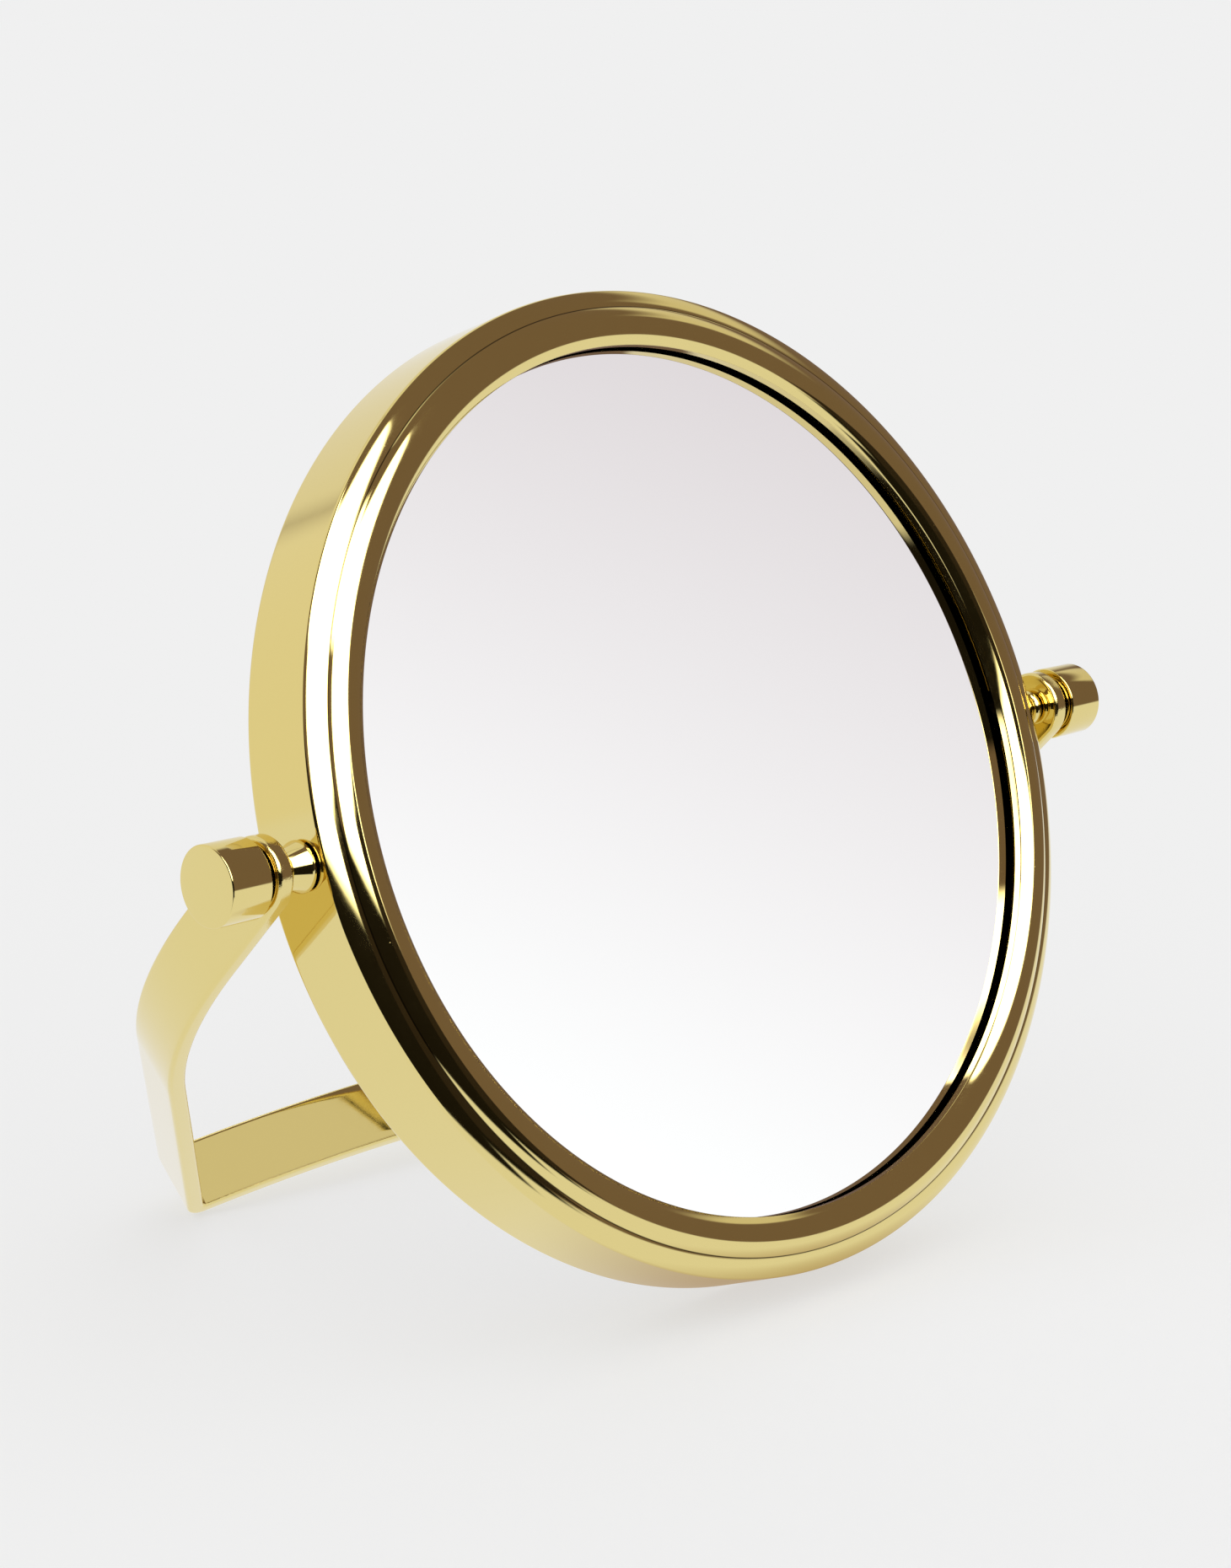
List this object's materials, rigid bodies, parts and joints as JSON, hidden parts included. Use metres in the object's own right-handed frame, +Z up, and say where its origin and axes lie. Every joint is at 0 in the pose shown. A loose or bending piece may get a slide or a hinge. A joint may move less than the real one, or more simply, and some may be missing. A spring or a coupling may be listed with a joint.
{
  "type": "shaving mirror",
  "caption": "Round polished brass table mirror, plane in front and magnifying behind, that tilts between two thumb nuts on a folding bent-strip stand.",
  "frame": {"origin": "on the surface that the mirror stands on, under the middle of the whole object's box", "axes": "+Z up, +X along the pivot axis towards the mirror's own right as seen from its front, -Y the way the plane glass faces"},
  "size_m": [0.1832, 0.104, 0.1452],
  "materials": {
    "shell_brass": "polished and lacquered, mirror bright",
    "bezel_brass": "polished and lacquered, mirror bright",
    "post_brass": "turned and polished",
    "washer_brass": "turned and polished",
    "knob_brass": "turned and polished, crisp edges",
    "stand_brass": "bent strip, polished",
    "front_mirror": "silvered float glass",
    "magnifier_mirror": "silvered slumped glass",
    "plate_steel": "zinc plated, dull",
    "fastener_steel": "zinc plated",
    "pad_foam": "closed-cell foam",
    "spacer_nylon": "natural nylon"
  },
  "bodies": {
    "head": {"front_shell": "shell_brass", "front_glass": "front_mirror", "front_pad": "pad_foam", "backing_plate": "plate_steel", "back_pad": "pad_foam", "spacer_ring": "spacer_nylon", "magnifying_glass": "magnifier_mirror", "back_bezel": "bezel_brass", "left_post": "post_brass", "left_lock_washer": "fastener_steel", "left_nut": "fastener_steel", "left_inner_washer": "washer_brass", "left_outer_washer": "washer_brass", "right_post": "post_brass", "right_lock_washer": "fastener_steel", "right_nut": "fastener_steel", "right_inner_washer": "washer_brass", "right_outer_washer": "washer_brass"},
    "stand": {"stand_bracket": "stand_brass"},
    "left_thumb_nut": {"left_knob": "knob_brass"},
    "right_thumb_nut": {"right_knob": "knob_brass"}
  },
  "joints": [
    {"name": "stand_fold", "type": "hinge", "parent": "head", "child": "stand", "pos_m": [0, -0.02077, 0.0731], "axis": [1, 0, 0], "continuous": true},
    {"name": "left_knob_turn", "type": "hinge", "parent": "head", "child": "left_thumb_nut", "pos_m": [-0.08815, -0.02077, 0.0731], "axis": [-1, 0, 0], "range_deg": [0, 360]},
    {"name": "right_knob_turn", "type": "hinge", "parent": "head", "child": "right_thumb_nut", "pos_m": [0.08815, -0.02077, 0.0731], "axis": [1, 0, 0], "range_deg": [0, 360]}
  ]
}
